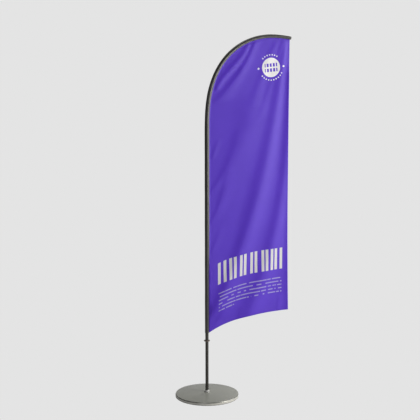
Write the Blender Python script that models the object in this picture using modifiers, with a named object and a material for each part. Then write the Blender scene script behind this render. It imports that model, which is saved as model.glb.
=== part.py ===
"""Feather flag: a round weighted foot plate with a ball-bearing swivel in its post, a plug-together
pole whose upper end is bent over, and a cloth panel held by a sleeve along the pole.

Metres, +Z up. The origin is the centre of the foot plate's underside, on the pole's axis.
The flag lies in the XZ plane and flies towards +X.
"""
import math

import bmesh
import bpy
import numpy as np
from mathutils import Matrix

# clearance kept between neighbouring pieces
GAP = 0.0003

# foot plate
MAT_RADIUS = 0.214
MAT_THICKNESS = 0.0025
BALLAST_RADIUS = 0.212
BALLAST_THICKNESS = 0.012
COVER_RADIUS = 0.225
COVER_RIM_HEIGHT = 0.0245
COVER_CROWN_HEIGHT = 0.0365
COVER_SHEET = 0.002
COVER_LIP_HEIGHT = 0.0015
HUB_FOOT_RADIUS = 0.0205
HUB_TOP_RADIUS = 0.0136
HUB_HEIGHT = 0.0115
BOSS_RADIUS = 0.030

# clamp bolt, M12 with a low hexagon head
BOLT_RADIUS = 0.006
BOLT_HEAD_FLATS = 0.018
BOLT_HEAD_HEIGHT = 0.005
BOLT_TOP = 0.062
WASHER_RADIUS = 0.0125
WASHER_THICKNESS = 0.0015

# post and the swivel in its top
POST_RADIUS = 0.0112
POST_BORE = 0.0088
POST_TOP = 0.4057
INSERT_HEIGHT = 0.040
BEARING_RADIUS = POST_BORE - GAP
BEARING_WIDTH = 0.006
BALL_RADIUS = 0.00115
BALL_PITCH = 0.00595
BALL_COUNT = 6
INNER_RACE_RADIUS = 0.0050
OUTER_RACE_BORE = 0.0069
LOWER_BEARING_FOOT = 0.3437
UPPER_BEARING_FOOT = 0.3977
JOURNAL_RADIUS = 0.0030
JOURNAL_FOOT = 0.3364

# ring and spigot that the pole stands on
RING_FOOT = 0.4075
RING_THICKNESS = 0.0070
RING_RADIUS = 0.0215
SPIGOT_RADIUS = 0.0090
SPIGOT_BORE = 0.0070
SPIGOT_TOP = 0.560
POLE_FOOT = RING_FOOT + RING_THICKNESS + GAP

# the bend: where it starts, how long it is, how far it turns, and how the bending is spread over it
BEND_START = 1.89
BEND_LENGTH = 1.07
BEND_TURN = math.radians(99.5)
BEND_RISE = 1.0
BEND_FALL = 0.6
BEND_STEP = 0.045

# pole sections: outer radius, bore, and where each starts and ends along the pole's line
BOTTOM_SECTION = (0.0118, 0.0095, POLE_FOOT, 1.10)
MIDDLE_SECTION = (0.0092, 0.0075, 1.04, 1.75)
UPPER_SECTION = (0.0072, 0.0052, 1.69, BEND_START + 11 * BEND_STEP)
FERRULE_HEIGHT = 0.014

# tip rod: radius at its foot and at its end, and where it starts and ends
TIP_ROD = (0.0048, 0.0030, BEND_START + 9 * BEND_STEP, 2.950)

# cloth
SLEEVE_FOOT = 0.468
SLEEVE_END = 2.928
SLEEVE_RADIUS = 0.0140
SLEEVE_END_RADIUS = 0.0092
SLEEVE_WALL = 0.0012
PANEL_THICKNESS = 0.002
FREE_EDGE = 0.617
HEM_WIDTH = 0.010
HEM_THICKNESS = 0.003
HEM_LOW = 0.457
HEM_RISE = 0.1356
HEM_REACH = 0.211
STRAP_WIDTH = 0.012
STRAP_THICKNESS = 0.0012
STRAP_FOOT = 0.427
STUD_HEIGHT = 0.436


def clear_scene():
    for thing in list(bpy.data.objects):
        bpy.data.objects.remove(thing, do_unlink=True)


def new_collection(name):
    collection = bpy.data.collections.new(name)
    bpy.context.scene.collection.children.link(collection)
    return collection


clear_scene()
PARTS = new_collection("feather_flag")
CUTTERS = new_collection("cutters")


def material(name, colour, roughness, metallic):
    finish = bpy.data.materials.new(name)
    finish.use_nodes = True
    shader = finish.node_tree.nodes["Principled BSDF"]
    shader.inputs["Base Color"].default_value = (*colour, 1.0)
    shader.inputs["Roughness"].default_value = roughness
    shader.inputs["Metallic"].default_value = metallic
    return finish


GREY_COAT = material("grey_powder_coat", (0.22, 0.22, 0.20), 0.45, 0.0)
DARK_COAT = material("dark_powder_coat", (0.025, 0.024, 0.020), 0.40, 0.0)
BRIGHT_STEEL = material("bright_steel", (0.55, 0.55, 0.56), 0.30, 1.0)
RAW_STEEL = material("raw_steel", (0.25, 0.24, 0.23), 0.60, 1.0)
DARK_ALUMINIUM = material("dark_anodised_aluminium", (0.030, 0.028, 0.024), 0.35, 1.0)
FIBREGLASS = material("black_fibreglass", (0.020, 0.020, 0.020), 0.40, 0.0)
BROWN_PLASTIC = material("brown_plastic", (0.060, 0.045, 0.035), 0.45, 0.0)
BLACK_RUBBER = material("black_rubber", (0.015, 0.015, 0.015), 0.90, 0.0)
PURPLE_CLOTH = material("purple_polyester", (0.115, 0.048, 0.480), 0.80, 0.0)
SLEEVE_CLOTH = material("black_sleeve_cloth", (0.030, 0.029, 0.024), 0.75, 0.0)


def joint_empty(name, height):
    """An empty on the common axis, which carries the pieces that move with it."""
    empty = bpy.data.objects.new(name, None)
    empty.empty_display_size = 0.05
    empty.location = (0.0, 0.0, height)
    PARTS.objects.link(empty)
    return empty


def attach(piece, parent):
    """Parent a piece to an unturned empty and leave it where it is."""
    piece.parent = parent
    piece.matrix_parent_inverse = Matrix.Translation(-parent.location)


SWIVEL = joint_empty("swivel_axis", 0.400)
LIFT = joint_empty("lift_axis", POLE_FOOT)


def add_piece(name, data, finish, parent=None):
    piece = bpy.data.objects.new(name, data)
    PARTS.objects.link(piece)
    data.materials.append(finish)
    if parent is not None:
        attach(piece, parent)
    return piece


def as_cutter(piece):
    """Move a piece to the cutters and show it as wire only."""
    for owner in list(piece.users_collection):
        owner.objects.unlink(piece)
    CUTTERS.objects.link(piece)
    piece.hide_render = True
    piece.display_type = "WIRE"
    return piece


def combine(target, tool, operation):
    step = target.modifiers.new(operation.lower(), "BOOLEAN")
    step.operation = operation
    step.solver = "EXACT"
    step.object = as_cutter(tool)


def turned(name, profile, finish, steps=32, parent=None, closed=False):
    """Turn a profile of (radius, height) points about Z.

    A solid's profile starts and ends on the axis and runs down its outside.
    A ring's profile is closed: down its outside, then up its bore.
    """
    mesh = bpy.data.meshes.new(name)
    edges = [(index, index + 1) for index in range(len(profile) - 1)]
    if closed:
        edges.append((len(profile) - 1, 0))
    mesh.from_pydata([(radius, 0.0, level) for radius, level in profile], edges, [])
    piece = add_piece(name, mesh, finish, parent)
    screw = piece.modifiers.new("turn", "SCREW")
    screw.steps = steps
    screw.render_steps = steps
    screw.use_merge_vertices = True
    screw.merge_threshold = 0.00002
    return piece


def disc(name, radius, foot, top, finish, steps=32, parent=None):
    return turned(name, [(0.0, top), (radius, top), (radius, foot), (0.0, foot)], finish, steps,
                  parent)


def ring(name, radius, bore, foot, top, finish, steps=32, parent=None, chamfer=0.0):
    profile = [(radius - chamfer, top), (radius, top - chamfer),
               (radius, foot + chamfer), (radius - chamfer, foot), (bore, foot), (bore, top)]
    if chamfer == 0.0:
        profile = [(radius, top), (radius, foot), (bore, foot), (bore, top)]
    return turned(name, profile, finish, steps, parent, closed=True)


def hexagon(name, flats, foot, top, finish, parent=None):
    mesh = bpy.data.meshes.new(name)
    shape = bmesh.new()
    radius = flats / math.sqrt(3.0)
    bmesh.ops.create_cone(shape, cap_ends=True, segments=6, radius1=radius, radius2=radius,
                          depth=top - foot)
    shape.to_mesh(mesh)
    shape.free()
    piece = add_piece(name, mesh, finish, parent)
    piece.location.z = (foot + top) / 2.0
    return piece


def cross_rod(name, radius, start, end, height, finish, steps=12, parent=None):
    """A round rod across the pole, along +Y from start to end."""
    piece = disc(name, radius, start, end, finish, steps)
    piece.rotation_euler = (-math.pi / 2.0, 0.0, 0.0)
    piece.location.z = height
    if parent is not None:
        attach(piece, parent)
    return piece


def arc(centre, radius, start, end, count):
    """Points (radius, height) on a round edge, from one angle to another in degrees."""
    return [(centre[0] + radius * math.cos(math.radians(angle)),
             centre[1] + radius * math.sin(math.radians(angle)))
            for angle in np.linspace(start, end, count)]


# ---- foot plate ----

def build_foot_plate():
    turned("anti_slip_mat", [(0.0, MAT_THICKNESS), (MAT_RADIUS - 0.001, MAT_THICKNESS),
                             (MAT_RADIUS, MAT_THICKNESS - 0.001), (MAT_RADIUS, 0.0), (0.0, 0.0)],
           BLACK_RUBBER, steps=48)

    ballast_foot = MAT_THICKNESS + GAP
    ballast_top = ballast_foot + BALLAST_THICKNESS
    head_foot = MAT_THICKNESS + 0.0005
    head_top = head_foot + BOLT_HEAD_HEIGHT
    washer_foot = head_top + GAP
    washer_top = washer_foot + WASHER_THICKNESS
    counterbore = washer_top + GAP
    hole = BOLT_RADIUS + 2.0 * GAP
    turned("ballast_disc", [(BALLAST_RADIUS, ballast_top), (BALLAST_RADIUS, ballast_foot),
                            (WASHER_RADIUS + 2.0 * GAP, ballast_foot),
                            (WASHER_RADIUS + 2.0 * GAP, counterbore),
                            (hole, counterbore), (hole, ballast_top)],
           RAW_STEEL, steps=48, closed=True)

    ring("clamp_washer", WASHER_RADIUS, hole, washer_foot, washer_top, BRIGHT_STEEL, steps=24)
    head = hexagon("clamp_bolt", BOLT_HEAD_FLATS, head_foot, head_top, BRIGHT_STEEL)
    shank = disc("bolt_shank", BOLT_RADIUS, head_top - 0.001, BOLT_TOP, BRIGHT_STEEL, steps=16)
    combine(head, shank, "UNION")

    crown_inside = COVER_CROWN_HEIGHT - COVER_SHEET
    ring("spacer_boss", BOSS_RADIUS, hole, ballast_top + GAP, crown_inside - GAP - 0.0002,
         RAW_STEEL, steps=24)
    build_cover(hole)

    hub_foot = COVER_CROWN_HEIGHT + GAP
    hub_top = hub_foot + HUB_HEIGHT
    hub_bore = POST_RADIUS + GAP
    turned("hub_flange", [(HUB_TOP_RADIUS - 0.0006, hub_top), (HUB_TOP_RADIUS, hub_top - 0.0006),
                          (HUB_TOP_RADIUS + 0.0012, hub_top - 0.004),
                          (HUB_FOOT_RADIUS - 0.0015, hub_foot + 0.0025),
                          (HUB_FOOT_RADIUS, hub_foot + 0.0012), (HUB_FOOT_RADIUS, hub_foot),
                          (hub_bore, hub_foot), (hub_bore, hub_top)],
           GREY_COAT, steps=40, closed=True)
    return hub_foot


def build_cover(hole):
    """A pressed shell: a shallow crowned top, a rounded shoulder, a straight rim and a rolled lip."""
    shoulder = 0.0045
    lip = 0.0030
    crown_edge = COVER_RADIUS - shoulder
    crown_drop = COVER_CROWN_HEIGHT - COVER_RIM_HEIGHT
    outer = [(hole, COVER_CROWN_HEIGHT)]
    for part in (0.10, 0.40, 0.70):
        outer.append((crown_edge * part, COVER_CROWN_HEIGHT - crown_drop * part ** 2))
    outer += arc((crown_edge, COVER_RIM_HEIGHT - shoulder), shoulder, 82.0, 0.0, 4)
    outer += arc((COVER_RADIUS - lip, COVER_LIP_HEIGHT + lip), lip, 0.0, -80.0, 3)
    cover = turned("base_cover", outer, GREY_COAT, steps=60)
    wall = cover.modifiers.new("sheet", "SOLIDIFY")
    wall.thickness = COVER_SHEET
    wall.offset = -1.0
    wall.use_even_offset = True


# ---- post and swivel ----

def build_post(foot):
    hole = BOLT_RADIUS + 2.0 * GAP
    top = foot + INSERT_HEIGHT
    turned("post_insert", [(0.0, top), (BEARING_RADIUS, top), (BEARING_RADIUS, foot),
                           (hole, foot), (hole, top - 0.006), (0.0, top - 0.006)],
           RAW_STEEL, steps=24)
    ring("spindle_post", POST_RADIUS, POST_BORE, foot, POST_TOP, DARK_COAT, steps=32,
         chamfer=0.0006)


def groove(radius, middle, outwards):
    """The ball track of a race, as points from its lower edge to its upper edge.

    It is cut into the bore of an outer race (outwards) or into the outside of an inner race.
    """
    track = BALL_RADIUS + GAP
    reach = abs(radius - BALL_PITCH)
    half = math.degrees(math.acos(reach / track))
    if outwards:
        return arc((BALL_PITCH, middle), track, -half, half, 4)
    return arc((BALL_PITCH, middle), track, 180.0 + half, 180.0 - half, 4)


def build_bearing(label, foot):
    top = foot + BEARING_WIDTH
    middle = (foot + top) / 2.0
    outer = [(BEARING_RADIUS, top), (BEARING_RADIUS, foot), (OUTER_RACE_BORE, foot)]
    outer += groove(OUTER_RACE_BORE, middle, True)
    outer.append((OUTER_RACE_BORE, top))
    turned("outer_race_" + label, outer, BRIGHT_STEEL, steps=24, closed=True)

    bore = JOURNAL_RADIUS + GAP
    inner = [(INNER_RACE_RADIUS, top)]
    inner += list(reversed(groove(INNER_RACE_RADIUS, middle, False)))
    inner += [(INNER_RACE_RADIUS, foot), (bore, foot), (bore, top)]
    turned("inner_race_" + label, inner, BRIGHT_STEEL, steps=24, closed=True, parent=SWIVEL)

    cage = ring("ball_cage_" + label, BALL_PITCH + 0.0004, BALL_PITCH - 0.0004,
                middle - 0.0005, middle + 0.0005, BRIGHT_STEEL, steps=24)
    balls = bpy.data.meshes.new("balls_" + label)
    shape = bmesh.new()
    for index in range(BALL_COUNT):
        angle = 2.0 * math.pi * index / BALL_COUNT
        place = Matrix.Translation((BALL_PITCH * math.cos(angle), BALL_PITCH * math.sin(angle), middle))
        bmesh.ops.create_uvsphere(shape, u_segments=8, v_segments=6, radius=BALL_RADIUS,
                                  matrix=place)
    shape.to_mesh(balls)
    shape.free()
    combine(cage, add_piece("balls_" + label, balls, BRIGHT_STEEL), "UNION")


def build_swivel():
    build_bearing("lower", LOWER_BEARING_FOOT)
    build_bearing("upper", UPPER_BEARING_FOOT)
    between = (LOWER_BEARING_FOOT + BEARING_WIDTH + GAP, UPPER_BEARING_FOOT - GAP)
    ring("outer_spacer", BEARING_RADIUS, 0.0075, *between, RAW_STEEL, steps=24)
    ring("inner_spacer", 0.0047, JOURNAL_RADIUS + GAP, *between, RAW_STEEL, steps=24, parent=SWIVEL)

    seat_top = LOWER_BEARING_FOOT - GAP
    ring("bearing_seat", BEARING_RADIUS, 0.0065, seat_top - 0.004, seat_top, RAW_STEEL, steps=24)
    clip_foot = UPPER_BEARING_FOOT + BEARING_WIDTH + GAP
    ring("retaining_ring", BEARING_RADIUS, 0.0068, clip_foot, clip_foot + 0.001, BRIGHT_STEEL, steps=24)

    nut = hexagon("lock_nut", 0.010, seat_top - 0.005, seat_top, BRIGHT_STEEL, parent=SWIVEL)
    bore = disc("nut_bore", JOURNAL_RADIUS + GAP, seat_top - 0.006, seat_top + 0.001, BRIGHT_STEEL,
                steps=16)
    combine(nut, bore, "DIFFERENCE")

    flange_top = RING_FOOT - GAP
    flange_foot = POST_TOP + 0.0004
    core = SPIGOT_BORE - GAP
    journal = turned("journal_shaft",
                     [(0.0, 0.452), (core - 0.001, 0.452), (core, 0.451), (core, flange_top),
                      (SPIGOT_RADIUS, flange_top), (SPIGOT_RADIUS, flange_foot),
                      (INNER_RACE_RADIUS, flange_foot), (INNER_RACE_RADIUS, clip_foot),
                      (JOURNAL_RADIUS, clip_foot), (JOURNAL_RADIUS, JOURNAL_FOOT + 0.0006),
                      (JOURNAL_RADIUS - 0.0006, JOURNAL_FOOT), (0.0, JOURNAL_FOOT)],
                     BRIGHT_STEEL, steps=24, parent=SWIVEL)

    turned("stop_ring", ring_profile(), BROWN_PLASTIC, steps=32, parent=SWIVEL, closed=True)
    spigot = ring("spigot_tube", SPIGOT_RADIUS, SPIGOT_BORE, POLE_FOOT, SPIGOT_TOP, BRIGHT_STEEL,
                  steps=32, parent=SWIVEL, chamfer=0.0008)

    pin_height = 0.438
    pin_reach = SPIGOT_RADIUS - GAP
    cross_rod("spigot_pin", 0.0015, -pin_reach, pin_reach, pin_height, RAW_STEEL, parent=SWIVEL)
    for piece in (journal, spigot):
        drill = cross_rod(piece.name + "_cross_hole", 0.0018, -0.012, 0.012, pin_height, RAW_STEEL)
        combine(piece, drill, "DIFFERENCE")


def ring_profile():
    """The ring's section: a rounded rim, flat above and below."""
    half = RING_THICKNESS / 2.0
    edge = 0.003
    middle = RING_FOOT + half
    rim = arc((RING_RADIUS - edge, middle + half - edge), edge, 90.0, 0.0, 4)
    rim += arc((RING_RADIUS - edge, middle - half + edge), edge, 0.0, -90.0, 4)
    return rim + [(SPIGOT_BORE, RING_FOOT), (SPIGOT_BORE, RING_FOOT + RING_THICKNESS)]


# ---- the pole's line ----

def bent_line(count=400):
    """The bent stretch, as distance along it, sideways place, height and turn.

    The bending is nothing at both ends of the stretch and is spread over it as
    part**BEND_RISE * (1 - part)**BEND_FALL. Adding it up gives the turn, and adding up the
    turn's sine and cosine gives the place.
    """
    part = np.linspace(0.0, 1.0, count)
    bending = part ** BEND_RISE * (1.0 - part) ** BEND_FALL
    turn = running_sum(bending, part)
    turn = turn / turn[-1] * BEND_TURN
    along = part * BEND_LENGTH
    return along, running_sum(np.sin(turn), along), running_sum(np.cos(turn), along), turn


def running_sum(values, places):
    steps = (values[1:] + values[:-1]) / 2.0 * np.diff(places)
    return np.concatenate([[0.0], np.cumsum(steps)])


LINE = bent_line()


def pole_at(along, inwards=0.0):
    """The point on the pole's line at a distance along it, moved inwards under the bend.

    The distance is the height above the floor on the straight stretch, and runs on
    round the bend. Returns (x, z, turn).
    """
    distance, across, rise, turns = LINE
    bent = min(max(along - BEND_START, 0.0), BEND_LENGTH)
    beyond = along - BEND_START - bent
    turn = float(np.interp(bent, distance, turns))
    x = float(np.interp(bent, distance, across)) + beyond * math.sin(turn)
    z = BEND_START + float(np.interp(bent, distance, rise)) + beyond * math.cos(turn)
    return x + inwards * math.cos(turn), z - inwards * math.sin(turn), turn


def stations(start, end):
    """Places along the pole from start to end: none between on the straight, then every step.

    Every piece on the bend has its points at the same places, so pieces stay nested.
    """
    count = int((end - BEND_START) / BEND_STEP)
    steps = [BEND_START + index * BEND_STEP for index in range(count + 1)]
    between = [place for place in steps if start + 0.001 < place < end - 0.001]
    return [start] + between + [end]


def along_pole(name, start, end, radius, finish, sides=12, wall=None):
    """A rod or, with a wall, an open tube that follows the pole's line.

    radius is a function of the place along the pole.
    """
    places = stations(start, end)
    curve = bpy.data.curves.new(name, "CURVE")
    curve.dimensions = "3D"
    curve.bevel_depth = 1.0
    curve.bevel_resolution = sides // 2 - 2
    curve.use_fill_caps = wall is None
    spline = curve.splines.new("POLY")
    spline.points.add(len(places) - 1)
    for point, place in zip(spline.points, places):
        x, z, _ = pole_at(place)
        point.co = (x, 0.0, z, 1.0)
        point.radius = radius(place)
    piece = add_piece(name, curve, finish, LIFT)
    if wall is not None:
        shell = piece.modifiers.new("wall", "SOLIDIFY")
        shell.thickness = wall
        shell.offset = -1.0
        shell.use_even_offset = True
    return piece


def at_pole(piece, place):
    """Stand a turned piece on the pole's line, its +Z along the line."""
    x, z, turn = pole_at(place)
    piece.location = (x, 0.0, z)
    piece.rotation_euler = (0.0, turn, 0.0)
    attach(piece, LIFT)
    return piece


# ---- pole sections ----

def build_pole():
    radius, bore, foot, top = BOTTOM_SECTION
    bottom = ring("pole_bottom", radius, bore, foot, top, DARK_ALUMINIUM, steps=32, parent=LIFT,
                  chamfer=0.0004)
    stud_hole = cross_rod("stud_hole", 0.0018, 0.0, 0.014, STUD_HEIGHT, DARK_ALUMINIUM)
    combine(bottom, stud_hole, "DIFFERENCE")

    radius, bore, foot, top = MIDDLE_SECTION
    ring("pole_middle", radius, bore, foot, top, DARK_ALUMINIUM, steps=24, parent=LIFT)

    radius, bore, foot, top = UPPER_SECTION
    along_pole("pole_upper", foot, top, lambda place: UPPER_SECTION[0], DARK_ALUMINIUM,
               wall=radius - bore)

    along_pole("pole_tip", TIP_ROD[2], TIP_ROD[3], tip_radius, FIBREGLASS, sides=10)

    sections = (BOTTOM_SECTION, MIDDLE_SECTION, UPPER_SECTION)
    inner = (MIDDLE_SECTION[0], UPPER_SECTION[0], TIP_ROD[0])
    for number, (section, carried) in enumerate(zip(sections, inner), start=1):
        seat = section[3] + 3.0 * GAP
        bore = carried + 2.0 * GAP
        ferrule = ring("stop_ferrule_" + str(number), section[0], bore, 0.0, FERRULE_HEIGHT,
                       BLACK_RUBBER, steps=20)
        at_pole(ferrule, seat)

    cap = turned("tip_cap", [(0.0, 0.022), (0.0030, 0.0215), (0.0046, 0.0198), (0.0052, 0.0175),
                             (0.0052, 0.0008), (0.0046, 0.0), (0.0036, 0.0), (0.0036, 0.0145),
                             (0.0, 0.0145)],
                 BLACK_RUBBER, steps=20)
    at_pole(cap, TIP_ROD[3] - 0.014)


def tip_radius(place):
    """The rod tapers evenly from its foot to its end."""
    thick, thin, foot, end = TIP_ROD
    return thick + (thin - thick) * (place - foot) / (end - foot)


# ---- cloth ----

def sleeve_radius(place):
    """Even on the straight stretch, then tapering to the tip."""
    part = min(max(place - BEND_START, 0.0) / (SLEEVE_END - BEND_START), 1.0)
    return SLEEVE_RADIUS + (SLEEVE_END_RADIUS - SLEEVE_RADIUS) * part


def hem_height(x):
    """The bottom edge rises steeply from the pole and levels out towards the free edge."""
    return HEM_LOW + HEM_RISE * (1.0 - math.exp(-x / HEM_REACH))


def flat_cloth(name, outline, thickness, finish):
    """A flat piece in the flag's plane, from its outline as (x, z) points."""
    curve = bpy.data.curves.new(name, "CURVE")
    curve.dimensions = "2D"
    curve.fill_mode = "BOTH"
    curve.extrude = thickness / 2.0
    spline = curve.splines.new("POLY")
    spline.points.add(len(outline) - 1)
    for point, (x, z) in zip(spline.points, outline):
        point.co = (x, z, 0.0, 1.0)
    spline.use_cyclic_u = True
    piece = add_piece(name, curve, finish)
    piece.rotation_euler = (math.pi / 2.0, 0.0, 0.0)
    attach(piece, LIFT)
    return piece


def build_cloth():
    along_pole("pole_sleeve", SLEEVE_FOOT, SLEEVE_END, sleeve_radius, SLEEVE_CLOTH, sides=14,
               wall=SLEEVE_WALL)
    end = SLEEVE_END_RADIUS
    inside = end - SLEEVE_WALL
    length = 0.042
    pocket = turned("tip_pocket",
                    [(0.0, length), (end - 0.003, length - 0.0006), (end - 0.0008, length - 0.0028),
                     (end, length - 0.006), (end, 0.0), (inside, 0.0), (inside, length - 0.0064),
                     (inside - 0.002, length - 0.0034), (0.0, length - 0.0016)],
                    SLEEVE_CLOTH, steps=24)
    at_pole(pocket, SLEEVE_END + GAP)

    seam = SLEEVE_RADIUS + GAP
    across = np.linspace(seam, FREE_EDGE, 13)
    inner_edge = FREE_EDGE - HEM_WIDTH - GAP

    top = []
    for place in stations(SLEEVE_FOOT, SLEEVE_END):
        x, z, turn = pole_at(place, sleeve_radius(place) + GAP)
        if z > hem_height(x) + HEM_WIDTH:
            top.append((x, z))
    end_x, end_z, end_turn = x, z, turn

    def under_pocket(x):
        """The height of the pocket's lower side, which runs straight on from the sleeve."""
        return end_z + (x - end_x) / math.tan(end_turn)

    top.append((inner_edge, under_pocket(inner_edge)))
    hem_top = [(float(x), hem_height(x) + HEM_WIDTH + GAP) for x in np.linspace(seam, inner_edge, 13)]
    panel = list(reversed(hem_top)) + top
    flat_cloth("flag_panel", panel, PANEL_THICKNESS, PURPLE_CLOTH)

    lower = [(float(x), hem_height(x)) for x in across]
    upper = [(float(x), hem_height(x) + HEM_WIDTH) for x in reversed(across)]
    flat_cloth("bottom_hem", lower + upper, HEM_THICKNESS, PURPLE_CLOTH)

    side_foot = hem_height(FREE_EDGE) + HEM_WIDTH + GAP
    side_top = under_pocket(FREE_EDGE) - GAP
    flat_cloth("side_hem", [(FREE_EDGE - HEM_WIDTH, side_foot), (FREE_EDGE, side_foot),
                            (FREE_EDGE, side_top), (FREE_EDGE - HEM_WIDTH, side_top)],
               HEM_THICKNESS, PURPLE_CLOTH)


def build_strap():
    """A webbing loop sewn to the sleeve's lower end, on the pole's +Y side, over a stud."""
    pole_radius = BOTTOM_SECTION[0]
    inner_face = pole_radius + GAP
    outer_face = inner_face + STRAP_THICKNESS
    top = SLEEVE_FOOT - GAP
    mesh = bpy.data.meshes.new("tension_strap")
    shape = bmesh.new()
    bmesh.ops.create_cube(shape, size=1.0)
    bmesh.ops.scale(shape, vec=(STRAP_WIDTH, STRAP_THICKNESS, top - STRAP_FOOT), verts=shape.verts)
    shape.to_mesh(mesh)
    shape.free()
    strap = add_piece("tension_strap", mesh, SLEEVE_CLOTH)
    strap.location = (0.0, (inner_face + outer_face) / 2.0, (top + STRAP_FOOT) / 2.0)
    attach(strap, LIFT)
    eyelet = cross_rod("strap_eyelet", 0.0022, 0.010, 0.016, STUD_HEIGHT, SLEEVE_CLOTH, steps=16)
    combine(strap, eyelet, "DIFFERENCE")

    shank_start = BOTTOM_SECTION[1] + 0.0002
    head_start = outer_face + GAP
    stud = turned("strap_stud", [(0.0, head_start + 0.0022), (0.0022, head_start + 0.0020),
                                 (0.0038, head_start + 0.0010), (0.0042, head_start),
                                 (0.0015, head_start), (0.0015, shank_start), (0.0, shank_start)],
                  BRIGHT_STEEL, steps=16)
    stud.rotation_euler = (-math.pi / 2.0, 0.0, 0.0)
    stud.location.z = STUD_HEIGHT
    attach(stud, LIFT)


post_foot = build_foot_plate()
build_post(post_foot)
build_swivel()
build_pole()
build_cloth()
build_strap()
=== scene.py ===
import math

import bmesh
import bpy
import numpy as np
from mathutils import Matrix, Vector


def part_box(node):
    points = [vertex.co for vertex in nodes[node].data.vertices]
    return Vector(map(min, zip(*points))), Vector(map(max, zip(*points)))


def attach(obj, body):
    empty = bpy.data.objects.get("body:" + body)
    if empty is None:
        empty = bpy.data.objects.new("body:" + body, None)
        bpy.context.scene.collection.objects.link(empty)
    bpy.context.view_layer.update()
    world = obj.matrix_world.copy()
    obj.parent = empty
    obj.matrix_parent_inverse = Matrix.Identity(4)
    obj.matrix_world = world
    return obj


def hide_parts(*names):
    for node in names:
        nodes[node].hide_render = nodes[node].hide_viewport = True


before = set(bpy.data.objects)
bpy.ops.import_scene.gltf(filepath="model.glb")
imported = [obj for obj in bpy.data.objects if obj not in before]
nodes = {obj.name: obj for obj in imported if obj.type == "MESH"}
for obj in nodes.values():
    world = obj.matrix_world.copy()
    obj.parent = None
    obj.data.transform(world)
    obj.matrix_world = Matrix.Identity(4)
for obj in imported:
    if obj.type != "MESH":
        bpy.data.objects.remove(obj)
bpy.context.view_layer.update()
mm = 0.001


# small helpers

def addMesh(name, points, quads, material, uvMaps=None):
    # a smooth mesh object at the origin from point rows and corner numbers,
    # uvMaps gives two numbers per point under each map's name
    mesh = bpy.data.meshes.new(name)
    points = np.asarray(points, np.float32).reshape(-1, 3)
    quads = np.asarray(quads, np.int32).reshape(-1, 4)
    mesh.vertices.add(len(points))
    mesh.vertices.foreach_set("co", points.ravel())
    mesh.loops.add(quads.size)
    mesh.loops.foreach_set("vertex_index", quads.ravel())
    mesh.polygons.add(len(quads))
    mesh.polygons.foreach_set("loop_start", np.arange(0, quads.size, 4, dtype=np.int32))
    for mapName, values in (uvMaps or {}).items():
        layer = mesh.uv_layers.new(name=mapName)
        layer.data.foreach_set("uv", np.asarray(values, np.float32).reshape(-1, 2)[quads.ravel()].ravel())
    mesh.update()
    mesh.validate()
    mesh.shade_smooth()
    mesh.materials.append(material)
    piece = bpy.data.objects.new(name, mesh)
    bpy.context.scene.collection.objects.link(piece)
    return piece


def gridQuads(rows, cols, wrapRows=False, wrapCols=False, start=0, flip=False):
    # corner numbers of a grid of points whose rows follow each other
    row = np.arange(rows if wrapRows else rows - 1)
    col = np.arange(cols if wrapCols else cols - 1)
    r, c = np.meshgrid(row, col, indexing="ij")
    nextR = (r + 1) % rows
    nextC = (c + 1) % cols
    quads = np.stack([r * cols + c, r * cols + nextC, nextR * cols + nextC, nextR * cols + c], -1)
    quads = quads.reshape(-1, 4) + start
    return quads[:, ::-1] if flip else quads


def weld(piece, distance=0.002 * mm):
    # joins the points that fall together at a pole or a seam
    shape = bmesh.new()
    shape.from_mesh(piece.data)
    bmesh.ops.remove_doubles(shape, verts=shape.verts, dist=distance)
    bmesh.ops.dissolve_degenerate(shape, dist=distance / 4, edges=shape.edges)
    shape.to_mesh(piece.data)
    shape.free()
    piece.data.shade_smooth()
    return piece


def faceOutwards(piece):
    # turns every face of the piece's closed shells outwards
    shape = bmesh.new()
    shape.from_mesh(piece.data)
    bmesh.ops.recalc_face_normals(shape, faces=shape.faces)
    shape.to_mesh(piece.data)
    shape.free()


def roundCorner(before, corner, after, radius, count=6):
    # an arc of that radius that cuts off a corner between two straight lines
    before, corner, after = (np.array(p, float) for p in (before, corner, after))
    a = (before - corner) / np.linalg.norm(before - corner)
    b = (after - corner) / np.linalg.norm(after - corner)
    half = math.acos(np.clip(a @ b, -1, 1)) / 2
    centre = corner + (a + b) / np.linalg.norm(a + b) * radius / math.sin(half)
    start = corner + a * radius / math.tan(half)
    end = corner + b * radius / math.tan(half)
    t = np.linspace(0, 1, count)[:, None]
    points = start * (1 - t) + end * t - centre
    return centre + points / np.linalg.norm(points, axis=1)[:, None] * radius


def roundedOutline(corners, count=6):
    # corners are (radius from axis, height, rounding); returns the closed outline with arcs
    outline = []
    for index, (r, z, rounding) in enumerate(corners):
        if rounding <= 0:
            outline.append([[r, z]])
            continue
        before = corners[index - 1][:2]
        after = corners[(index + 1) % len(corners)][:2]
        outline.append(roundCorner(before, (r, z), after, rounding, count))
    return np.concatenate([np.asarray(part, float) for part in outline])


def turnedPiece(name, outline, material, segments=96):
    # a closed outline of (radius, height) turned about Z: x = r cos a, y = r sin a
    angle = np.linspace(0, 2 * math.pi, segments, endpoint=False)[:, None]
    r, z = outline[None, :, 0], outline[None, :, 1]
    points = np.stack([r * np.cos(angle), r * np.sin(angle), z + 0 * angle], -1)
    area = np.sum(outline[:, 0] * np.roll(outline[:, 1], -1) - np.roll(outline[:, 0], -1) * outline[:, 1])
    quads = gridQuads(segments, len(outline), wrapRows=True, wrapCols=True, flip=area > 0)
    piece = addMesh(name, points, quads, material)
    piece.data.set_sharp_from_angle(angle=math.radians(50))
    return piece


def smooth(t):
    # rises softly from 0 to 1 as t does
    t = np.clip(t, 0, 1)
    return t * t * (3 - 2 * t)


# material helpers

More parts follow.
